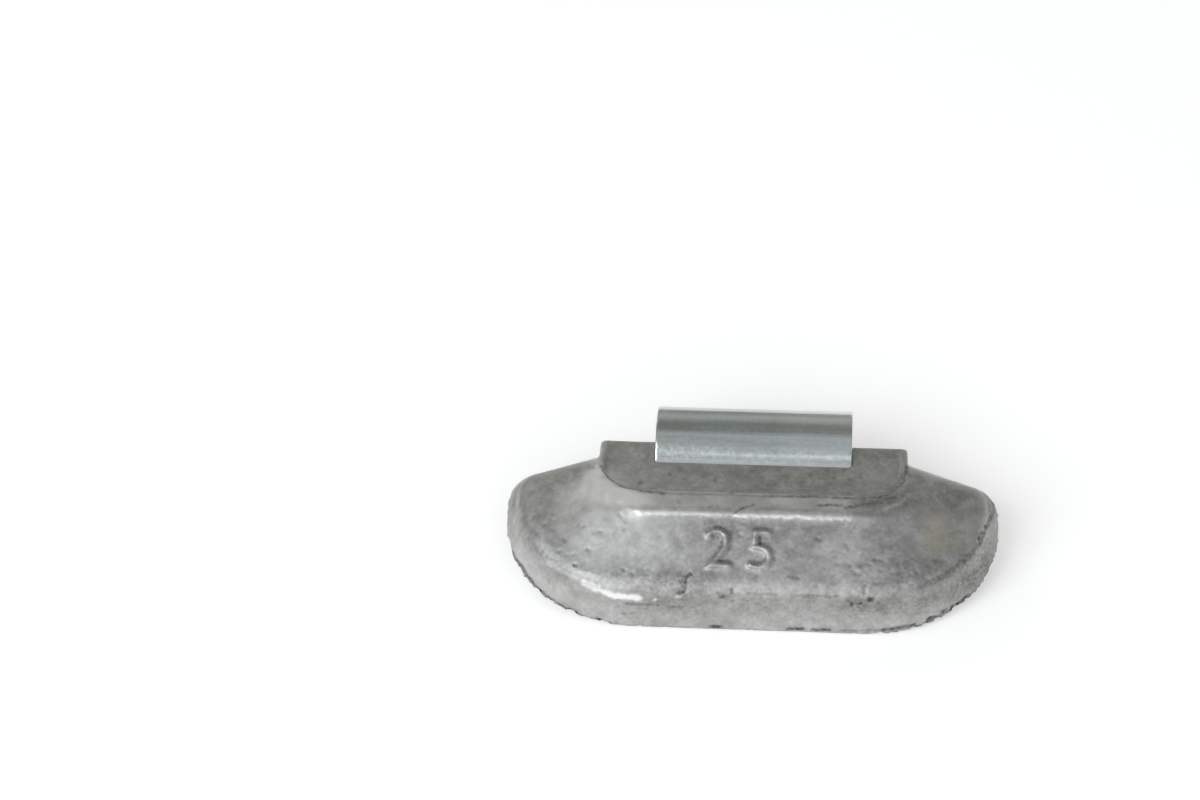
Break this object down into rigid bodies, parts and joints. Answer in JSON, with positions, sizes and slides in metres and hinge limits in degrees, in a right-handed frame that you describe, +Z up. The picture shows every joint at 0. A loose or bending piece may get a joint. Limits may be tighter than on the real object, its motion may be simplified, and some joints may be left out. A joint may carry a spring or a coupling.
{
  "type": "wheel balance weight",
  "caption": "Clip-on wheel balance weight: a crowned zinc casting with rounded ends and a flat back, and a bent spring-steel clip that hooks over the edge of a wheel rim.",
  "frame": {"origin": "middle of the footprint, on the surface that the weight lies on", "axes": "+X along the weight, +Y towards the clip's bend, +Z up from the surface that it lies on"},
  "size_m": [0.0472, 0.0225, 0.0098],
  "materials": {
    "cast_zinc": "as cast, dull and scuffed",
    "plated_spring_steel": "zinc plated"
  },
  "bodies": {
    "root": {"cast_weight": "cast_zinc", "rim_clip": "plated_spring_steel"}
  },
  "joints": []
}
